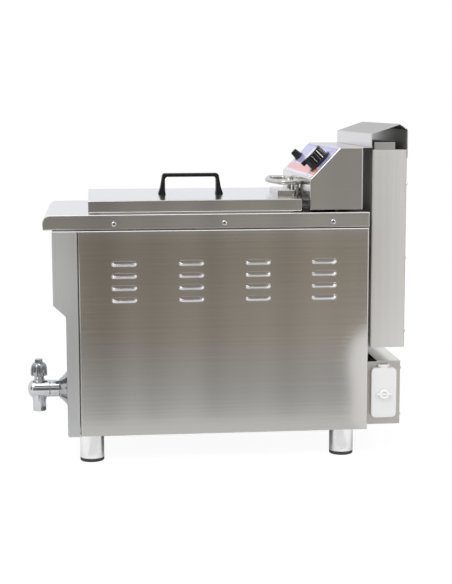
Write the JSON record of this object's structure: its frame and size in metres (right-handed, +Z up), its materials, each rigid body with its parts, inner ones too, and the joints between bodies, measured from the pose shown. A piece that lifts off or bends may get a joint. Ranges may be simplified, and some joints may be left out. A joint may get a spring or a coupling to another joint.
{
  "type": "gas deep fryer",
  "caption": "Counter-top gas deep fryer: a stainless cabinet with louvred sides, lidded oil tank with lift-out basket, drain tap, sloped control head and rear flue.",
  "frame": {"origin": "on the floor under the middle of the whole fryer, tap and gas inlet included", "axes": "+X to the side with the battery cover, +Y to the rear with the flue, +Z up; the drain tap faces -Y"},
  "size_m": [0.351, 0.6554, 0.556],
  "materials": {
    "stainless_sheet": "horizontally brushed sheet",
    "polished_wire": "polished wire",
    "chromed_metal": "bright chrome",
    "black_rubber": "matt rubber",
    "black_plastic": "fine-grained black plastic",
    "white_plastic": "moulded white plastic",
    "plain_steel": "turned steel",
    "brass_fittings": "turned brass",
    "valve_casting": "die-cast",
    "burner_iron": "cast and blackened",
    "fibre_blanket": "ceramic fibre felt",
    "dark_plastic": "moulded",
    "cell_jacket": "plain metal jacket",
    "panel_print": "printed film in lavender and coral"
  },
  "bodies": {
    "body": {"legs": "chromed_metal", "leg_pads": "black_rubber", "base_plate": "stainless_sheet", "right_side_panel": "stainless_sheet", "left_side_panel": "stainless_sheet", "front_fascia": "stainless_sheet", "rear_panel": "stainless_sheet", "top_frame": "stainless_sheet", "worktop": "stainless_sheet", "oil_tank": "stainless_sheet", "crumb_screen": "stainless_sheet", "drain_pipe": "plain_steel", "combustion_chamber": "stainless_sheet", "chamber_rails": "stainless_sheet", "insulation_wrap": "fibre_blanket", "flue_tunnel": "stainless_sheet", "burner_tubes": "burner_iron", "gas_manifold": "brass_fittings", "gas_valve": "valve_casting", "gas_inlet": "brass_fittings", "pulse_igniter": "dark_plastic", "flue_gasket": "fibre_blanket", "flue_duct": "stainless_sheet", "flue_rear_cover": "stainless_sheet", "flue_outlet": "stainless_sheet", "flue_hood": "stainless_sheet", "burner_box": "stainless_sheet", "burner_box_top": "stainless_sheet", "battery_case": "white_plastic", "battery_hinge_pin": "plain_steel", "battery_cell": "cell_jacket", "head_casing": "stainless_sheet", "head_spacers": "plain_steel", "panel_film": "panel_print", "thermostat": "dark_plastic", "thermostat_capillary": "brass_fittings", "ignition_switch": "dark_plastic", "tap_body": "chromed_metal", "tap_rosette": "chromed_metal"},
    "basket": {"basket_floor": "polished_wire", "basket_sides": "polished_wire", "basket_ends": "polished_wire", "basket_rim": "polished_wire", "basket_handle": "polished_wire"},
    "lid": {"lid_shell": "stainless_sheet", "handle_hood": "stainless_sheet", "lid_handle": "black_plastic"},
    "thermostat_dial": {"thermostat_knob": "black_plastic", "thermostat_shaft": "plain_steel"},
    "ignition_dial": {"ignition_knob": "black_plastic", "ignition_shaft": "plain_steel"},
    "tap_handle": {"tap_knob": "chromed_metal", "tap_spindle": "chromed_metal"},
    "battery_door": {"battery_cover": "white_plastic"},
    "door_latch": {"battery_latch": "white_plastic"}
  },
  "joints": [
    {"name": "basket_lift", "type": "slide", "parent": "body", "child": "basket", "axis": [0, 0, 1], "range_m": [0, 0.22]},
    {"name": "lid_draw", "type": "slide", "parent": "basket", "child": "lid", "axis": [0, -0.9945, 0.1045], "range_m": [0, 0.4]},
    {"name": "thermostat_turn", "type": "hinge", "parent": "body", "child": "thermostat_dial", "pos_m": [0.112, 0.17295, 0.4919], "axis": [0, 0.7223, -0.6916], "range_deg": [0, 280]},
    {"name": "ignition_turn", "type": "hinge", "parent": "body", "child": "ignition_dial", "pos_m": [-0.112, 0.17295, 0.4919], "axis": [0, 0.7223, -0.6916], "range_deg": [0, 90]},
    {"name": "tap_turn", "type": "hinge", "parent": "body", "child": "tap_handle", "pos_m": [0, -0.30795, 0.1159], "axis": [0, 0, 1], "range_deg": [0, 540]},
    {"name": "battery_door_swing", "type": "hinge", "parent": "body", "child": "battery_door", "pos_m": [0.1598, 0.27575, 0.1511], "axis": [0, -1, 0], "range_deg": [0, 95]},
    {"name": "latch_turn", "type": "hinge", "parent": "battery_door", "child": "door_latch", "pos_m": [0.1618, 0.27575, 0.1033], "axis": [1, 0, 0], "range_deg": [0, 90]}
  ]
}
